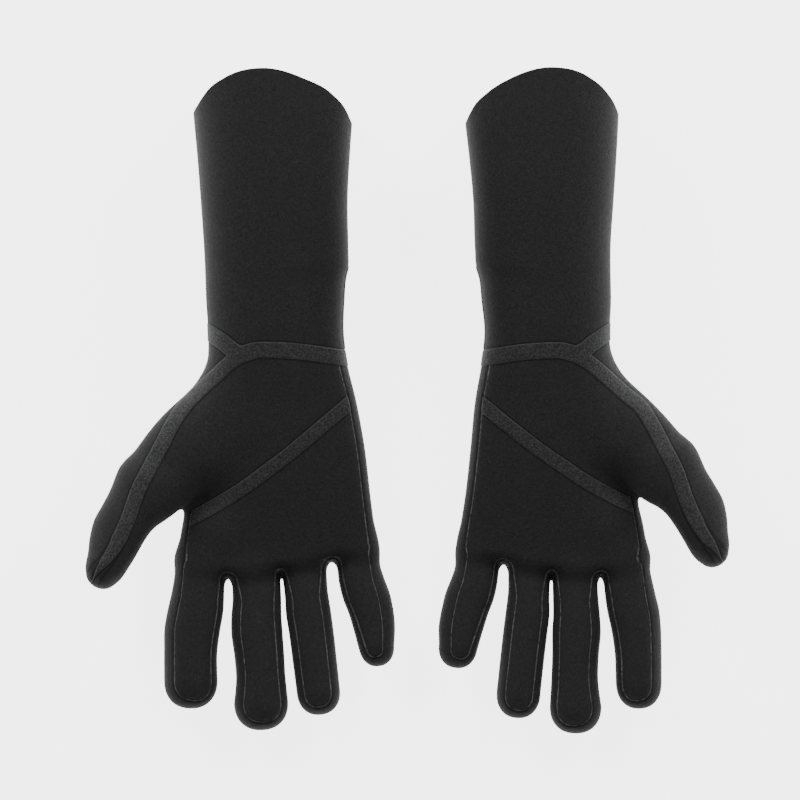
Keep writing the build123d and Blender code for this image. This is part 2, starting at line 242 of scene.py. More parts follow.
# seam paths on the palm side, out and y
WRIST_SEAMS = {
    "right": [(24, 21.8), (37, 23.7), (59, 26.6), (79, 27.4), (89.5, 25.6)],
    "left": [(28, 21.8), (42, 23.6), (62, 26.4), (80, 27.2), (89.5, 25.6)],
}
EDGE_SEAMS = {
    "right": [(89.5, 25.6), (98.8, 32.0), (106.3, 36.8), (114, 41)],
    "left": [(89.5, 25.6), (98.8, 32.0), (106.3, 36.8), (114, 41)],
}
THUMB_SEAMS = {
    "right": [(80, 27.0), (91.4, 22.7), (101.5, 14.2), (116.5, 0.2), (124, -10),
              (129.4, -20.3), (137.8, -36.5), (143.2, -47.3), (148.9, -63.5),
              (155.1, -76.5), (158.9, -82.5), (165.0, -90.5), (168.4, -97)],
    "left": [(80, 27.0), (91.4, 23.2), (101.5, 16.0), (115, 4), (122.5, -2), (128.5, -10.8), (136.4, -26),
             (141.8, -36.8), (147.5, -53), (153.7, -66), (157.5, -72), (163.6, -80), (167, -86.5)],
}
PALM_SEAMS = {
    "right": [(26, 3.5), (31.2, -0.7), (41.9, -9.7), (50.1, -16.7), (63.9, -28.2),
              (76.6, -37.7), (89.1, -46.8), (108, -58), (124, -66)],
    "left": [(32, 4.5), (38, -0.5), (48.5, -9.2), (56.5, -15.6), (70, -26), (82.5, -34.5), (94.5, -42.5),
             (112, -52), (126, -58)],
}
# finger seams: distance from the outline, on the little finger side and on the thumb side
SEAM_INSETS = {"index": (2.9, 5.6), "middle": (3.5, 4.9), "ring": (4.5, 3.8), "little": (7.0, 2.7)}
SEAM_ROOTS = {"index": (1.7, 4.2), "middle": (1.7, 1.7), "ring": (1.7, 1.7), "little": (4.2, 1.7)}
# dents in the palm: out, y, depth, radius
HOLLOWS = {
    "right": [(106, -51, 5.0, 13), (70, -58, 2.0, 30)],
    "left": [(109, -45, 5.0, 13), (78, -56, 2.0, 30)],
}


# ---------------------------------------------------------------- shape functions

def curve(table, column, at):
    """Smooth line through a table's rows, read at the places given."""
    t = np.array([row[0] for row in table], float)
    v = np.array([row[column] for row in table], float)
    slope = np.gradient(v, t)
    at = np.clip(at, t[0], t[-1])
    i = np.clip(np.searchsorted(t, at) - 1, 0, len(t) - 2)
    width = t[i + 1] - t[i]
    u = (at - t[i]) / width
    start = 2 * u**3 - 3 * u**2 + 1
    lean = (u**3 - 2 * u**2 + u) * slope[i] + (u**3 - u**2) * slope[i + 1]
    return start * v[i] + (1 - start) * v[i + 1] + width * lean


def soft_min(a, b, k):
    """The smaller of two fields, melted together over k."""
    h = np.maximum(k - np.abs(a - b), 0) / k
    return np.minimum(a, b) - h * h * k / 4


def soft_max(a, b, k):
    """The larger of two fields, melted together over k."""
    return -soft_min(-a, -b, k)


def oval(x, z, a, b, power, past_end=0.0, end_size=1.0):
    """Signed distance, near enough, from an oval tube whose end is rounded off over end_size."""
    x, z, e = np.abs(x), np.abs(z), np.maximum(past_end, 0)
    f = np.maximum((x / a) ** power + (z / b) ** power + (e / end_size) ** power, 1e-6)
    f = f ** (1 / power)
    p = power - 1
    slope = (x**p / a**power) ** 2 + (z**p / b**power) ** 2 + (e**p / end_size**power) ** 2
    slope = np.sqrt(slope) * f ** (1 - power)
    return (f - 1) / np.maximum(slope, 0.3 / np.maximum(a, b))


def turned(v, axis, degrees):
    """Vector v turned about an axis."""
    a = np.array(axis, float) / np.linalg.norm(axis)
    t = radians(degrees)
    return v * cos(t) + np.cross(a, v) * sin(t) + a * np.dot(a, v) * (1 - cos(t))


def dot(v, d):
    """Dot product of a vector and of points given as (x, y, z)."""
    return v[0] * d[0] + v[1] * d[1] + v[2] * d[2]


class Glove:
    """One glove: frames of its digits from the record's joints, and its shape as fields."""

    def __init__(self, name):
        self.name = name
        self.side = -1 if name == "right" else 1
        self.digits = DIGITS[name]
        self.frames = {}
        joints = {j["name"]: j for j in frame["record"]["behaviour"]["joints"]}
        for digit in self.digits:
            joint = joints[f"{name}_{digit}_bend"]
            place = np.array(joint["pos_m"]) / MM
            axis = np.array(joint["axis"])
            if digit == "thumb":
                lean = radians(THUMB_LEAN)
                flat = np.array([self.side * sin(lean), -cos(lean), 0])
                along = turned(flat, np.cross(flat, (0, 0, 1)), THUMB_LIFT)
            else:
                flat = np.cross((0, 0, 1), axis)
                along = turned(flat, axis, FINGER_LIFT)
            self.frames[digit] = (place, -self.side * axis, along, np.cross(axis, along))

    def digit_place(self, digit, p):
        """Points in a digit's own directions: outwards, along and up."""
        place, outwards, along, up = self.frames[digit]
        d = (self.side * p[0] - place[0], p[1] - place[1], p[2] - place[2])
        return dot(outwards, d), dot(along, d), dot(up, d)

    def digit_field(self, digit, p):
        """Distance from one digit, its root end rounded off inside the hand."""
        w, s, h = self.digit_place(digit, p)
        shape = self.digits[digit]
        root = THUMB_ROOT if digit == "thumb" else FINGER_ROOT
        near = (np.abs(w) < DIGIT_REACH) & (np.abs(h) < DIGIT_REACH)
        near &= (s > -root - DIGIT_END_REACH) & (s < shape["tip"] + DIGIT_END_REACH)
        field = np.full(np.shape(w), FAR)
        w, s, h = w[near], s[near], h[near]
        inner, outer = curve(shape["edge"], 1, s), curve(shape["edge"], 2, s)
        half = shape["half"] * (1 - DIGIT_THINNING * np.clip(s / shape["tip"], 0, 1))
        end = shape["tip"] - shape["cap"]
        tube = oval(w - (outer - inner) / 2, h, (inner + outer) / 2, half, DIGIT_POWER,
                    s - shape["cap"], end)
        field[near] = soft_max(tube, -s - root, ROOT_ROUNDING)
        return field

    def trunk_field(self, p):
        """Distance from the cuff and palm, without digits."""
        out, y, z = p
        rows = TRUNKS[self.name]
        inner, outer, top = curve(rows, 1, y), curve(rows, 2, y), curve(rows, 3, y)
        field = oval(out - (inner + outer) / 2, z - top / 2, (outer - inner) / 2, top / 2, TRUNK_POWER)
        return soft_max(field, curve(WEBS[self.name], 1, out) - y, WEB_MELT)

    def thumb_root_field(self, p):
        """Distance from the swelling that carries the thumb."""
        shape = THUMB_ROOTS[self.name]
        a, b = np.array(shape["start"], float), np.array(shape["end"], float)
        length = np.linalg.norm(b - a)
        along = (b - a) / length
        outwards = np.array([-along[1], along[0], 0])
        outwards /= np.linalg.norm(outwards)
        up = np.cross(along, outwards)
        up *= np.sign(up[2])
        d = (p[0] - a[0], p[1] - a[1], p[2] - a[2])
        s, w, h = dot(along, d), dot(outwards, d), dot(up, d)
        inner, outer, half = (curve(shape["edge"], column, s) for column in (1, 2, 3))
        ends = np.maximum(s - length + THUMB_ROOT_END, -s - THUMB_ROOT_START)
        return oval(w - (outer - inner) / 2, h, (inner + outer) / 2, half, THUMB_ROOT_POWER,
                    ends, THUMB_ROOT_CAP)

    def skin_field(self, p):
        """Distance from the glove's outer surface, a closed form."""
        body = soft_min(self.trunk_field(p), self.thumb_root_field(p), ROOT_MELT)
        body = soft_min(body, self.digit_field("thumb", p), THUMB_MELT)
        whole = body
        for digit in FINGERS:
            finger = soft_min(body, self.digit_field(digit, p), FINGER_MELT)
            whole = np.minimum(whole, finger)
        for out, y, depth, radius in HOLLOWS[self.name]:
            spread = ((p[0] - out) ** 2 + (p[1] - y) ** 2) / radius**2
            share = np.clip((p[2] - HOLLOW_HEIGHT) / HOLLOW_HEIGHT, 0, 1)
            whole = whole + depth * np.exp(-spread) * share
        return soft_max(whole, BACK_HEIGHT - p[2], BACK_MELT)

    def flat_hand_field(self, p):
        """Distance from the outline of palm and fingers, measured at mid thickness."""
        out, y, _ = p
        top = curve(TRUNKS[self.name], 3, y)
        z = np.where(y > KNUCKLE_Y, top / 2, KNUCKLE_HEIGHT + (KNUCKLE_Y - y) * FINGER_RISE)
        q = (out, y, z)
        field = self.trunk_field(q)
        for digit in FINGERS:
            field = soft_min(field, self.digit_field(digit, q), OUTLINE_MELT)
        return field


def seam_field(glove, p):
    """Signed distance in plan from the seams of the palm and fingers, negative on the panels."""
    nearest = np.full(np.shape(p[0]), FAR)
    inset = np.full(np.shape(p[0]), SEAM_INSET)
    for digit, (inner, outer) in SEAM_INSETS.items():
        w, s, h = glove.digit_place(digit, p)
        size = np.abs(w)
        own = (size < nearest) & (s > SEAM_START)
        nearest = np.where(own, size, nearest)
        share = np.clip(0.5 + w / SEAM_SPREAD, 0, 1)
        fade = np.clip((s + SEAM_FADE_START) / SEAM_FADE, 0, 1)
        low, high = SEAM_ROOTS[digit]
        root = low + (high - low) * share
        inset = np.where(own, root + fade * (inner + (outer - inner) * share - root), inset)
    return glove.flat_hand_field(p) + inset


def path_distance(path, out, y):
    """Distance in plan from a path, positive on the side that faces away from the palm."""
    points = np.array(path, float)
    t = np.arange(len(points))
    table = [(i, *row) for i, row in enumerate(points)]
    fine = np.linspace(0, t[-1], 6 * len(points))
    x, z = curve(table, 1, fine), curve(table, 2, fine)
    best = np.full(np.shape(out), 1e9)
    sign = np.ones(np.shape(out))
    for i in range(len(fine) - 1):
        dx, dz = x[i + 1] - x[i], z[i + 1] - z[i]
        u = np.clip(((out - x[i]) * dx + (y - z[i]) * dz) / (dx * dx + dz * dz), 0, 1)
        ex, ez = out - x[i] - u * dx, y - z[i] - u * dz
        d = ex * ex + ez * ez
        closer = d < best
        best = np.where(closer, d, best)
        sign = np.where(closer, np.sign(dx * ez - dz * ex), sign)
    return np.sqrt(best) * sign


# ---------------------------------------------------------------- mesh from the fields

def grow(glove, voxel, offset=0.0):
    """Points (out, y, z) and quads of the glove's skin, or of a surface inside or outside it."""
    low = np.array(FIELD_LOW)
    counts = np.ceil((np.array(FIELD_HIGH) - low) / (voxel * BLOCK)).astype(int)
    field = np.empty(counts * BLOCK, np.float32)
    tile = np.stack(np.meshgrid(*[np.arange(BLOCK)] * 3, indexing="ij")) * voxel
    corners = np.stack(np.meshgrid(*[np.arange(n) for n in counts], indexing="ij"), -1).reshape(-1, 3)
    rough = glove.skin_field((low + (corners + 0.5) * BLOCK * voxel).T)
    reach = BLOCK * voxel * BLOCK_REACH + abs(offset)
    for corner, value in zip(corners * BLOCK, np.clip(rough, -reach, reach)):
        i, j, k = corner
        field[i:i + BLOCK, j:j + BLOCK, k:k + BLOCK] = value
    near = corners[np.abs(rough) < reach]
    for part in np.array_split(near, max(1, len(near) // BLOCKS_AT_ONCE)):
        start = low + part * BLOCK * voxel
        values = glove.skin_field(start.T[:, :, None, None, None] + tile[:, None])
        for corner, value in zip(part * BLOCK, values):
            i, j, k = corner
            field[i:i + BLOCK, j:j + BLOCK, k:k + BLOCK] = value
    grid = openvdb.FloatGrid(reach)
    grid.copyFromArray(field - offset)
    points, quads = grid.convertToQuads(isovalue=0.0)
    return points.astype(float) * voxel + low, quads.astype(int)


def slopes(field, p, step=0.15):
    """Gradient of a field at points."""
    result = np.empty_like(p)
    for axis in range(3):
        shift = np.zeros(3)
        shift[axis] = step
        result[:, axis] = (field((p + shift).T) - field((p - shift).T)) / (2 * step)
    return result


def settle(field, p, offset, rounds):
    """Points moved onto the surface where the field has the offset's value, and its normals."""
    for _ in range(rounds):
        slope = slopes(field, p)
        error = field(p.T) - offset
        step = error / np.maximum((slope**2).sum(1), LEAST_SLOPE)
        p = p - slope * np.clip(step, -LONGEST_STEP, LONGEST_STEP)[:, None]
    slope = slopes(field, p)
    return p, slope / np.maximum(np.linalg.norm(slope, axis=1), 1e-6)[:, None]


def points_of(mesh):
    """The places of a work mesh's points on the glove."""
    rest = np.empty(len(mesh.vertices) * 3, np.float32)
    mesh.attributes["rest"].data.foreach_get("vector", rest)
    return rest.reshape(-1, 3).astype(float)


def corners_of(mesh):
    """The point numbers round every face in one line, and where each face starts in it."""
    numbers = np.empty(len(mesh.loops), np.int32)
    mesh.loops.foreach_get("vertex_index", numbers)
    starts = np.empty(len(mesh.polygons), np.int32)
    mesh.polygons.foreach_get("loop_start", starts)
    return numbers, starts


def middles_of(mesh):
    """The middle of every face."""
    numbers, starts = corners_of(mesh)
    sizes = np.diff(np.append(starts, len(numbers)))
    return np.add.reduceat(points_of(mesh)[numbers], starts) / sizes[:, None]


def work_mesh(glove, voxel, offset, rounds):
    """A mesh of the glove's surface, ready to be cut: its points are kept in the attribute rest."""
    p, quads = grow(glove, voxel, offset)
    keep = (p[quads, 1] < MESH_TOP).all(1)
    used, quads = np.unique(quads[keep], return_inverse=True)
    quads = quads.reshape(-1, 4)
    p, _ = settle(glove.skin_field, p[used], offset, rounds)
    mesh = bpy.data.meshes.new("work")
    mesh.from_pydata(p.tolist(), [], quads.tolist())
    rest = mesh.attributes.new("rest", "FLOAT_VECTOR", "POINT")
    rest.data.foreach_set("vector", p.astype(np.float32).ravel())
    return mesh


def cut(mesh, value, chosen=None):
    """Divides the faces that the line value = 0 crosses, or the chosen ones of them."""
    p = points_of(mesh)
    v = value(p.T)
    mesh.vertices.foreach_set("co", np.column_stack([p[:, :2], v]).astype(np.float32).ravel())
    numbers, starts = corners_of(mesh)
    crossed = np.minimum.reduceat(v[numbers], starts) < 0
    crossed &= np.maximum.reduceat(v[numbers], starts) > 0
    if chosen is not None:
        crossed &= chosen(middles_of(mesh).T)
    body = bmesh.new()
    body.from_mesh(mesh)
    body.faces.ensure_lookup_table()
    faces = [body.faces[i] for i in np.flatnonzero(crossed)]
    edges = list({edge for face in faces for edge in face.edges})
    ends = list({end for face in faces for end in face.verts})
    bmesh.ops.bisect_plane(
        body, geom=faces + edges + ends, dist=CUT_SNAP, plane_co=(0, 0, 0), plane_no=(0, 0, 1))
    body.to_mesh(mesh)
    body.free()


# ---------------------------------------------------------------- seams, tapes and panels of one glove

def level(glove, p):
    """Height above the line that parts the palm side from the back."""
    out, y, z = p
    middle = 0.5 * curve(TRUNKS[glove.name], 3, y)
    share = np.clip((out - THUMB_LEVEL_OUT) / THUMB_LEVEL_FADE, 0, 1) * (y < THUMB_LEVEL_TOP)
    return z - middle * (1 - share) - THUMB_LEVEL * share


def on_digit(glove, digit, p):
    """True at places on the digit's side of the cut that parts it from the hand."""
    _, s, _ = glove.digit_place(digit, p)
    own = glove.digit_field(digit, p)
    nearest = np.min([glove.digit_field(other, p) for other in glove.digits], axis=0)
    return (own <= nearest) & (own < DIGIT_SKIN) & (s > glove.digits[digit]["cut"])


def near_digit(glove, digit, p):
    """True at places close to the cut that parts a digit from the hand."""
    _, s, _ = glove.digit_place(digit, p)
    own = glove.digit_field(digit, p)
    nearest = np.min([glove.digit_field(other, p) for other in glove.digits], axis=0)
    beside = np.abs(s - glove.digits[digit]["cut"]) < CUT_REACH
    return (own <= nearest + CUT_MARGIN) & (own < CUT_SKIN) & beside


def below_hem(glove, p):
    """Distance below the hem, in plan."""
    return curve(HEMS[glove.name], 1, p[0]) - p[1]


def above_wrist(glove, p):
    """Distance above the middle of the wrist tape, in plan."""
    line = WRIST_SEAMS[glove.name] + EDGE_SEAMS[glove.name][1:]
    return p[1] - curve(line, 1, p[0])


def thumb_side(glove, p):
    """Distance outwards from the thumb seam, in plan."""
    return path_distance(THUMB_SEAMS[glove.name] + [THUMB_SEAM_ENDS[glove.name]], p[0], p[1])


def wrist_tape(glove, p):
    """Negative under the tape round the wrist and its arm to the thumb."""
    line = WRIST_SEAMS[glove.name] + EDGE_SEAMS[glove.name][1:]
    ring = np.abs(path_distance(line, p[0], p[1])) - WRIST_TAPE_HALF
    arm = np.abs(path_distance(THUMB_SEAMS[glove.name], p[0], p[1])) - ARM_TAPE_HALF
    arm = np.maximum(arm, -level(glove, p))
    return np.minimum(ring, arm)


def thumb_tape(glove, p):
    """Negative under the tape along the thumb, which narrows towards its end."""
    _, s, h = glove.digit_place("thumb", p)
    half = np.interp(s, THUMB_TAPE_PLACES, THUMB_TAPE_HALVES)
    band = np.abs(path_distance(THUMB_SEAMS[glove.name], p[0], p[1])) - half
    return np.maximum(band, -h)


def palm_tape(glove, p):
    """Negative under the tape across the palm."""
    band = np.abs(path_distance(PALM_SEAMS[glove.name], p[0], p[1])) - PALM_TAPE_HALF
    inside = seam_field(glove, p) - PALM_TAPE_OVERLAP
    return np.maximum(np.maximum(band, -level(glove, p)), inside)


def cuff_tape(glove, p):
    """Negative under the short tape up the cuff's little finger side."""
    out, y, z = p
    band = np.abs(z - 0.5 * curve(TRUNKS[glove.name], 3, y)) - CUFF_TAPE_HALF
    band = np.maximum(band, out - CUFF_TAPE_OUT)
    band = soft_max(band, y - CUFF_TAPE_TOP, CUFF_TAPE_MELT)
    return np.maximum(band, CUFF_TAPE_START - above_wrist(glove, p))


TAPES = (wrist_tape, thumb_tape, palm_tape, cuff_tape)


def web_line(glove, p):
    """Distance below the line where the wall on the thumb side of the palm begins."""
    return WALL_TOPS[glove.name] - p[1]


def has_wall(glove, p):
    """True where a panel's edge is a seam with a side wall."""
    out, y, _ = p
    beside = (out < WALL_OUT) | (web_line(glove, p) > 0)
    return (above_wrist(glove, p) < 0) & beside & (thumb_side(glove, p) < 0)


def divide(glove, mesh):
    """Cuts the skin along its hem, seams, tapes and body borders."""
    cut(mesh, lambda p: below_hem(glove, p))
    cut(mesh, lambda p: above_wrist(glove, p))
    for digit in glove.digits:
        cut(mesh, lambda p: glove.digit_place(digit, p)[1] - glove.digits[digit]["cut"],
            lambda p: near_digit(glove, digit, p))
    cut(mesh, lambda p: thumb_side(glove, p), lambda p: above_wrist(glove, p) < 0)
    cut(mesh, lambda p: web_line(glove, p),
        lambda p: (p[0] > WALL_OUT) & (glove.flat_hand_field(p) > -WALL_DEPTH) & ~on_thumb(glove, p))
    for shift in (-THREAD, 0.0, THREAD):
        cut(mesh, lambda p: seam_field(glove, p) + shift,
            lambda p: has_wall(glove, p) & ~on_thumb(glove, p))
    cut(mesh, lambda p: level(glove, p),
        lambda p: (web_line(glove, p) < 1) & (p[0] > WALL_OUT)
        & (thumb_side(glove, p) < 0) & (above_wrist(glove, p) < 0))
    for tape in TAPES:
        for shift in (0.0, TAPE_EDGE):
            cut(mesh, lambda p: tape(glove, p) + shift)


def on_thumb(glove, p):
    """True at places that belong to the thumb."""
    return on_digit(glove, "thumb", p)


def groove_depth(glove, p):
    """How far the skin dips along the seams."""
    seam = np.where(has_wall(glove, p) & ~on_thumb(glove, p), seam_field(glove, p), NO_SEAM)
    thumb = np.where(on_thumb(glove, p), thumb_side(glove, p), NO_SEAM)
    nearest = np.minimum(np.abs(seam), np.abs(thumb))
    return GROOVE_DEPTH * np.exp(-((nearest / GROOVE_WIDTH) ** 2) * GROOVE_SHARPNESS)


def panel_masks(glove, c):
    """Which faces, by their middles, belong to each panel: {node: (body, mask)}."""
    name = glove.name
    kept = below_hem(glove, c) > 0
    cuff = kept & (above_wrist(glove, c) > 0)
    inset = seam_field(glove, c) < 0
    masks = {f"{name}_cuff_sleeve": ("cuff", cuff)}
    left = kept & ~cuff
    for digit in glove.digits:
        own = on_digit(glove, digit, c) & left
        left &= ~own
        if digit == "thumb":
            outer = thumb_side(glove, c) > 0
            masks[f"{name}_thumb_inner_panel"] = (digit, own & ~outer)
            masks[f"{name}_thumb_outer_panel"] = (digit, own & outer)
        else:
            top = glove.digit_place(digit, c)[2] > 0
            masks[f"{name}_{digit}_palm_panel"] = (digit, own & inset & top)
            masks[f"{name}_{digit}_back_panel"] = (digit, own & inset & ~top)
            masks[f"{name}_{digit}_side_strip"] = (digit, own & ~inset)
    root = left & (thumb_side(glove, c) > 0)
    wall = left & ~root & ~inset & has_wall(glove, c)
    left &= ~root & ~wall
    top = level(glove, c) > 0
    masks[f"{name}_thumb_root_panel"] = ("hand", root)
    masks[f"{name}_hand_side_walls"] = ("hand", wall)
    masks[f"{name}_hand_palm_panel"] = ("hand", left & top)
    masks[f"{name}_hand_back_panel"] = ("hand", left & ~top)
    return masks


def shell(name, glove, mesh, faces, top, bottom, normals, values, materials):
    """A closed piece made of some of the mesh's faces: its outer and inner points, and the rim between."""
    numbers, starts = corners_of(mesh)
    sizes = np.diff(np.append(starts, len(numbers)))
    used = np.unique(np.concatenate([numbers[starts[f]:starts[f] + sizes[f]] for f in faces]))
    place = np.full(len(top), -1)
    place[used] = np.arange(len(used))
    count = len(used)
    outer = [place[numbers[starts[f]:starts[f] + sizes[f]]].tolist() for f in faces]
    sides = {(a, b) for face in outer for a, b in zip(face, face[1:] + face[:1])}
    rims = [[b, a, a + count, b + count] for a, b in sorted(sides) if (b, a) not in sides]
    inner = [[i + count for i in reversed(face)] for face in outer]
    polygons = outer + inner + rims
    p = np.concatenate([top[used], bottom[used]]) * [glove.side, 1, 1] * MM
    if glove.side < 0:
        polygons = [face[::-1] for face in polygons]
    data = bpy.data.meshes.new(name)
    data.from_pydata(p.tolist(), [], polygons)
    slots = np.repeat([0, 1, 2], [len(outer), len(inner), len(rims)])
    data.polygons.foreach_set("material_index", slots)
    data.polygons.foreach_set("use_smooth", np.ones(len(polygons), bool))
    for material in materials:
        data.materials.append(material)
    n = np.concatenate([normals[used], -normals[used]]) * [glove.side, 1, 1]
    turned_corners = [n[i] for face in polygons[:len(outer) + len(inner)] for i in face]
    for face in polygons[len(outer) + len(inner):]:
        flat = np.cross(p[face[2]] - p[face[0]], p[face[3]] - p[face[1]])
        turned_corners += [flat / max(np.linalg.norm(flat), 1e-12)] * len(face)
    data.normals_split_custom_set(np.array(turned_corners))
    rest = np.concatenate([top[used], bottom[used]]).astype(np.float32)
    data.attributes.new("rest", "FLOAT_VECTOR", "POINT").data.foreach_set("vector", rest.ravel())
    # the values go into the edge attribute; on the skin they place the painted shadow line beside the
    # tapes
    edge = np.concatenate([values[used]] * 2)
    data.attributes.new("edge", "FLOAT", "POINT").data.foreach_set("value", edge.astype(np.float32))
    piece = bpy.data.objects.new(name, data)
    bpy.context.scene.collection.objects.link(piece)
    return piece


def attach(piece, glove, body, slot, *nodes):
    """Bakes the piece's placement into its mesh, and hides the CAD nodes that it stands for."""
    if body in glove.digits:
        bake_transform(piece)
    else:
        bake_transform(piece)
    if nodes:
        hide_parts(*nodes)


def raised(glove, p, normals, height):
    """Points lifted off the skin by a height that varies over it, and the lifted surface's normals."""
    top = p + normals * height(p.T)[:, None]
    slope = slopes(lambda q: glove.skin_field(q) - height(q), top)
    return top, slope / np.linalg.norm(slope, axis=1)[:, None]


def make_skin(glove):
    """Outer panels, with their tapes and stitches."""
    mesh = work_mesh(glove, SKIN_VOXEL, 0.0, SETTLING_ROUNDS)
    divide(glove, mesh)
    p = points_of(mesh)
    _, normals = settle(glove.skin_field, p, 0.0, 0)
    c = middles_of(mesh).T
    top, grooved = raised(glove, p, normals, lambda q: -groove_depth(glove, q))
    # painted shadow: distance from a near-black line just outside each tape's edge, kept in the skin's
    # edge attribute
    beside = np.min([np.abs(tape(glove, p.T) - PAINTED_SHADOW_PLACE) for tape in TAPES], axis=0)
    bodies = {}
    for node, (body, mask) in panel_masks(glove, c).items():
        bodies[body] = bodies.get(body, False) | mask
        piece = shell(node + "_skin", glove, mesh, np.flatnonzero(mask), top,
                      p - normals * WALL, grooved, beside, [NEOPRENE, INNER, CUT_EDGE])
        attach(piece, glove, body, "neoprene", node)
    for node, tape, body in (
        ("wrist_seam_tape", wrist_tape, "hand"),
        ("palm_seam_tape", palm_tape, "hand"),
        ("cuff_side_tape", cuff_tape, "cuff"),
        ("thumb_seam_tape", thumb_tape, "thumb"),
    ):
        place = bodies["hand"] | bodies["cuff"] if body == "hand" else bodies[body]
        faces = np.flatnonzero(place & (tape(glove, c) < 0))
        used = tape(glove, p.T) < 1.0
        top, lifted = p.copy(), normals.copy()
        top[used], lifted[used] = raised(
            glove, p[used], normals[used],
            lambda q: TAPE_LIFT * np.sqrt(np.clip(-tape(glove, q) / TAPE_EDGE, 0, 1))
            + TAPE_CLEARANCE)
        piece = shell(f"{glove.name}_{node}_band", glove, mesh, faces, top,
                      p - normals * TAPE_SINK, lifted, tape(glove, p.T), [TAPE] * 3)
        attach(piece, glove, body, "seam_tape", f"{glove.name}_{node}")
    make_stitches(glove, mesh, p, normals, c, bodies)
    bpy.data.meshes.remove(mesh)


def make_stitches(glove, mesh, p, normals, c, bodies):
    """A fine thread along the seams of the palm and the fingers."""
    seam = np.abs(seam_field(glove, p.T)) / THREAD
    rise = THREAD_LIFT * np.sqrt(np.clip(1 - seam**2, 0, 1)) - groove_depth(glove, p.T)
    sewn = has_wall(glove, c) & (np.abs(seam_field(glove, c)) < THREAD)
    for body in ("hand", *FINGERS):
        faces = np.flatnonzero(sewn & bodies[body])
        piece = shell(f"{glove.name}_{body}_stitch", glove, mesh, faces,
                      p + normals * rise[:, None], p - normals * THREAD_SINK, normals, seam,
                      [THREAD_FINISH] * 3)
        attach(piece, glove, body, "seam_tape")


def make_liner(glove):
    """Insulation behind the panels, a coarser shell of its own in each body."""
    mesh = work_mesh(glove, LINER_VOXEL, -WALL - LINER_GAP, SETTLING_ROUNDS)
    cut(mesh, lambda p: below_hem(glove, p) - LINER_HEM)
    cut(mesh, lambda p: above_wrist(glove, p))
    for digit in glove.digits:
        cut(mesh, lambda p: glove.digit_place(digit, p)[1] - glove.digits[digit]["cut"],
            lambda p: near_digit(glove, digit, p))
    p = points_of(mesh)
    _, normals = settle(glove.skin_field, p, 0.0, 0)
    c = middles_of(mesh).T
    cuff = above_wrist(glove, c) > 0
    hem = below_hem(glove, c) > LINER_HEM
    left = ~cuff
    parts = {"cuff": cuff & hem}
    for digit in glove.digits:
        parts[digit] = left & on_digit(glove, digit, c)
        left &= ~parts[digit]
    parts["hand"] = left
    for body, mask in parts.items():
        node = f"{glove.name}_{body}_liner"
        piece = shell(node + "_pile", glove, mesh, np.flatnonzero(mask), p,
                      p - normals * LINER_WALL, normals, np.ones(len(p)), [PILE] * 3)
        attach(piece, glove, body, "liner", node)
    bpy.data.meshes.remove(mesh)


# ---------------------------------------------------------------- materials

class Finish:
    """A node material that reads the glove's own places, in millimetres."""

    def __init__(self, name, roughness, sheen=0.0):
        self.material = bpy.data.materials.new(name)
        self.material.use_nodes = True
        self.tree = self.material.node_tree
        self.shader = self.tree.nodes["Principled BSDF"]
        self.shader.inputs["Roughness"].default_value = roughness
        self.shader.inputs["Specular IOR Level"].default_value = 0.12
        self.shader.inputs["Sheen Weight"].default_value = sheen
        self.shader.inputs["Sheen Roughness"].default_value = 0.45
        self.rest = self.node("ShaderNodeAttribute")
        self.rest.attribute_name = "rest"
        # the edge attribute: on the jersey it places the painted shadow line beside the tapes, on a tape
        # its lighter edges
        self.edge = self.node("ShaderNodeAttribute")
        self.edge.attribute_name = "edge"

    def node(self, kind, **values):
        made = self.tree.nodes.new(kind)
        for key, value in values.items():
            setattr(made, key, value)
        return made

    def link(self, source, target):
        self.tree.links.new(source, target)

    def noise(self, stretch, detail=3.0, roughness=0.55):
        """Noise whose grains are 1 / stretch millimetres along x, y and z."""
        mapping = self.node("ShaderNodeMapping")
        mapping.inputs["Scale"].default_value = stretch
        self.link(self.rest.outputs["Vector"], mapping.inputs["Vector"])
        noise = self.node("ShaderNodeTexNoise")
        noise.inputs["Scale"].default_value = 1.0
        noise.inputs["Detail"].default_value = detail
        noise.inputs["Roughness"].default_value = roughness
        self.link(mapping.outputs["Vector"], noise.inputs["Vector"])
        return noise.outputs["Fac"]

    def math(self, operation, a, b):
        made = self.node("ShaderNodeMath", operation=operation)
        for socket, value in zip(made.inputs, (a, b)):
            if isinstance(value, (int, float)):
                socket.default_value = value
            else:
                self.link(value, socket)
        return made.outputs["Value"]

    def ramp(self, value, low, high, start=0.3, stop=0.7):
        """Colours from low to high as a value goes from start to stop."""
        ramp = self.node("ShaderNodeValToRGB")
        ramp.color_ramp.elements[0].position = start
        ramp.color_ramp.elements[0].color = (*low, 1)
        ramp.color_ramp.elements[1].position = stop
        ramp.color_ramp.elements[1].color = (*high, 1)
        self.link(value, ramp.inputs["Fac"])
        return ramp.outputs["Color"]

    def mix(self, share, a, b):
        mix = self.node("ShaderNodeMix", data_type="RGBA")
        low, high = mix.inputs[6], mix.inputs[7]  # the node's two colours
        for socket, value in ((mix.inputs["Factor"], share), (low, a), (high, b)):
            if isinstance(value, tuple):
                socket.default_value = (*value, 1)
            else:
                self.link(value, socket)
        return mix.outputs[2]  # the mixed colour

    def bump(self, height, distance, strength=1.0):
        bump = self.node("ShaderNodeBump")
        bump.inputs["Strength"].default_value = strength
        bump.inputs["Distance"].default_value = distance
        self.link(height, bump.inputs["Height"])
        self.link(bump.outputs["Normal"], self.shader.inputs["Normal"])

    def colour(self, colour):
        self.link(colour, self.shader.inputs["Base Color"])


def grey(value):
    """A grey with a trace of blue."""
    return (value, value, value * 1.03)


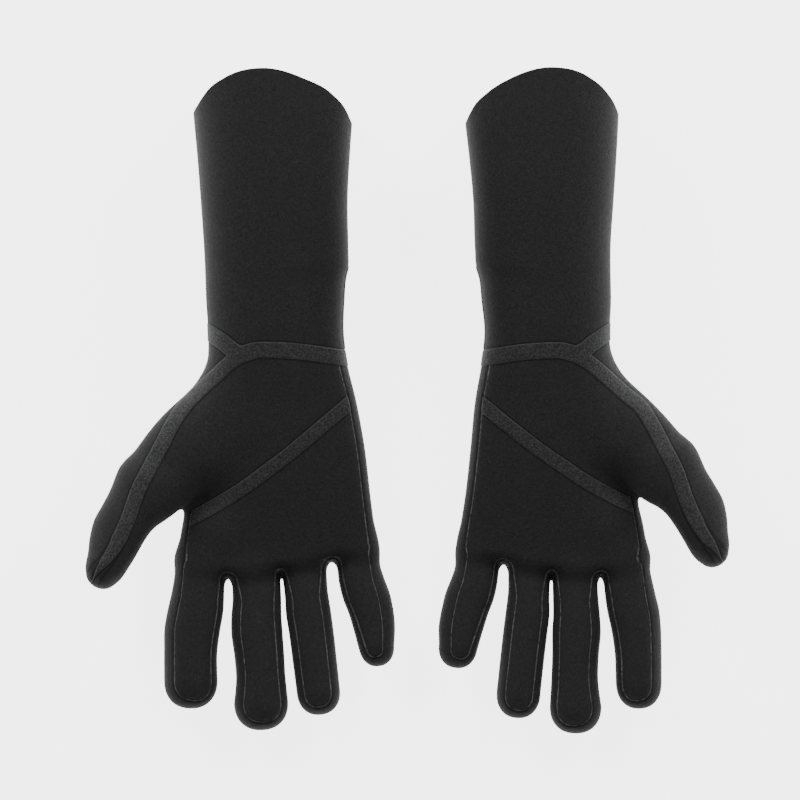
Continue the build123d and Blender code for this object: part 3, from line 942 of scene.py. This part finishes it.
def jersey_finish():
    """Black foam-backed jersey: short flecks both ways, soft blotches, and a painted shadow line beside
    the tapes.
    """
    finish = Finish("neoprene_jersey", 0.85, 0.03)
    along = finish.noise((2.6, 0.55, 0.9))
    across = finish.noise((0.5, 2.8, 0.9))
    fleck = finish.math("MAXIMUM", along, across)
    blotch = finish.noise((0.07, 0.07, 0.07), 2.0)
    tone = finish.ramp(fleck, grey(0.0145), grey(0.041), 0.42, 0.74)
    tone = finish.mix(finish.math("MULTIPLY", blotch, 0.6), tone, grey(0.0205))
    # painted shadow: the jersey turns near black along a line just outside each tape's edge
    line = finish.node("ShaderNodeMapRange")
    line.inputs["From Max"].default_value = 0.9
    line.inputs["To Min"].default_value = 0.75
    line.inputs["To Max"].default_value = 0.0
    finish.link(finish.edge.outputs["Fac"], line.inputs["Value"])
    finish.colour(finish.mix(line.outputs["Result"], tone, grey(0.004)))
    finish.bump(finish.math("ADD", fleck, finish.noise((3.2, 3.2, 3.2), 2.0)), 0.00016)
    return finish.material


def tape_finish():
    """Bonded tape: speckled charcoal, lighter along its edges."""
    finish = Finish("seam_tape_finish", 0.75, 0.02)
    speck = finish.noise((1.05, 1.05, 1.05), 3.0, 0.8)
    blotch = finish.noise((0.25, 0.25, 0.25), 2.0)
    tone = finish.ramp(speck, grey(0.018), grey(0.070), 0.40, 0.66)
    tone = finish.mix(finish.math("MULTIPLY", blotch, 0.35), tone, grey(0.022))
    line = finish.node("ShaderNodeMapRange")
    line.inputs["From Min"].default_value = -0.7
    line.inputs["From Max"].default_value = -0.1
    line.inputs["To Max"].default_value = 0.5
    finish.link(finish.edge.outputs["Fac"], line.inputs["Value"])
    finish.colour(finish.mix(line.outputs["Result"], tone, grey(0.065)))
    finish.bump(speck, 0.0002)
    return finish.material


def plain_finish(name, low, high, stretch, depth, sheen):
    """A mottled grey from low to high, with a grain of depth metres."""
    finish = Finish(name, 0.9, sheen)
    grain = finish.noise((stretch,) * 3, 3.0)
    finish.colour(finish.ramp(grain, grey(low), grey(high)))
    finish.bump(grain, depth)
    return finish.material


NEOPRENE = jersey_finish()
TAPE = tape_finish()
INNER = plain_finish("foam_inside", 0.012, 0.02, 1.2, 0.0002, 0.1)
CUT_EDGE = plain_finish("foam_cut_edge", 0.09, 0.16, 2.0, 0.0002, 0.0)
THREAD_FINISH = plain_finish("seam_thread", 0.035, 0.14, 0.5, 0.0001, 0.0)
PILE = plain_finish("liner_pile", 0.06, 0.16, 0.9, 0.0008, 0.3)

for side in DIGITS:
    made = Glove(side)
    make_skin(made)
    make_liner(made)


# ---------------------------------------------------------------- floor, light and camera, in metres

FLOOR_HALF = 8.0
FLOOR_HEIGHT = -0.001
FLOOR_GLOW = 4.0
WORLD_GLOW = 0.28
SOFTBOX_SIZE = 0.8
SOFTBOX_POWER = 22
CAMERA_PLACE = (-0.0045, 0.0009, 5.03)  # far off, as the photograph shows no perspective
CAMERA_LENS = 424.5
CAMERA_SENSOR = 36.0


def stage_floor():
    """Plain pale paper with a strong glow of its own, so that it reads as nearly white."""
    data = bpy.data.meshes.new("floor")
    half = FLOOR_HALF
    corners = [(-half, -half, 0), (half, -half, 0), (half, half, 0), (-half, half, 0)]
    data.from_pydata(corners, [], [(0, 1, 2, 3)])
    floor = bpy.data.objects.new("floor", data)
    floor.location.z = FLOOR_HEIGHT
    bpy.context.scene.collection.objects.link(floor)
    material = bpy.data.materials.new("floor_paper")
    material.use_nodes = True
    shader = material.node_tree.nodes["Principled BSDF"]
    shader.inputs["Base Color"].default_value = (0.9, 0.9, 0.9, 1)
    shader.inputs["Roughness"].default_value = 0.95
    shader.inputs["Specular IOR Level"].default_value = 0.0
    shader.inputs["Emission Color"].default_value = (1, 1, 1, 1)
    shader.inputs["Emission Strength"].default_value = FLOOR_GLOW
    data.materials.append(material)


def area_light(name, place, target, size, power):
    """A square softbox that faces a target."""
    data = bpy.data.lights.new(name, "AREA")
    data.shape = "SQUARE"
    data.size = size
    data.energy = power
    lamp = bpy.data.objects.new(name, data)
    lamp.location = place
    lamp.rotation_euler = (Vector(target) - Vector(place)).to_track_quat("-Z", "Y").to_euler()
    bpy.context.scene.collection.objects.link(lamp)


stage_floor()
world = bpy.data.worlds.new("studio")
world.use_nodes = True
world.node_tree.nodes["Background"].inputs["Color"].default_value = (1, 1, 1, 1)
world.node_tree.nodes["Background"].inputs["Strength"].default_value = WORLD_GLOW
bpy.context.scene.world = world
area_light("softbox_left", (-1.0, 1.2, 1.0), (0, 0, 0), SOFTBOX_SIZE, SOFTBOX_POWER)
area_light("softbox_right", (1.0, 1.2, 1.0), (0, 0, 0), SOFTBOX_SIZE, SOFTBOX_POWER)

camera_data = bpy.data.cameras.new("camera")
camera_data.lens = CAMERA_LENS
camera_data.sensor_width = CAMERA_SENSOR
camera = bpy.data.objects.new("camera", camera_data)
camera.location = CAMERA_PLACE
bpy.context.scene.collection.objects.link(camera)
bpy.context.scene.camera = camera
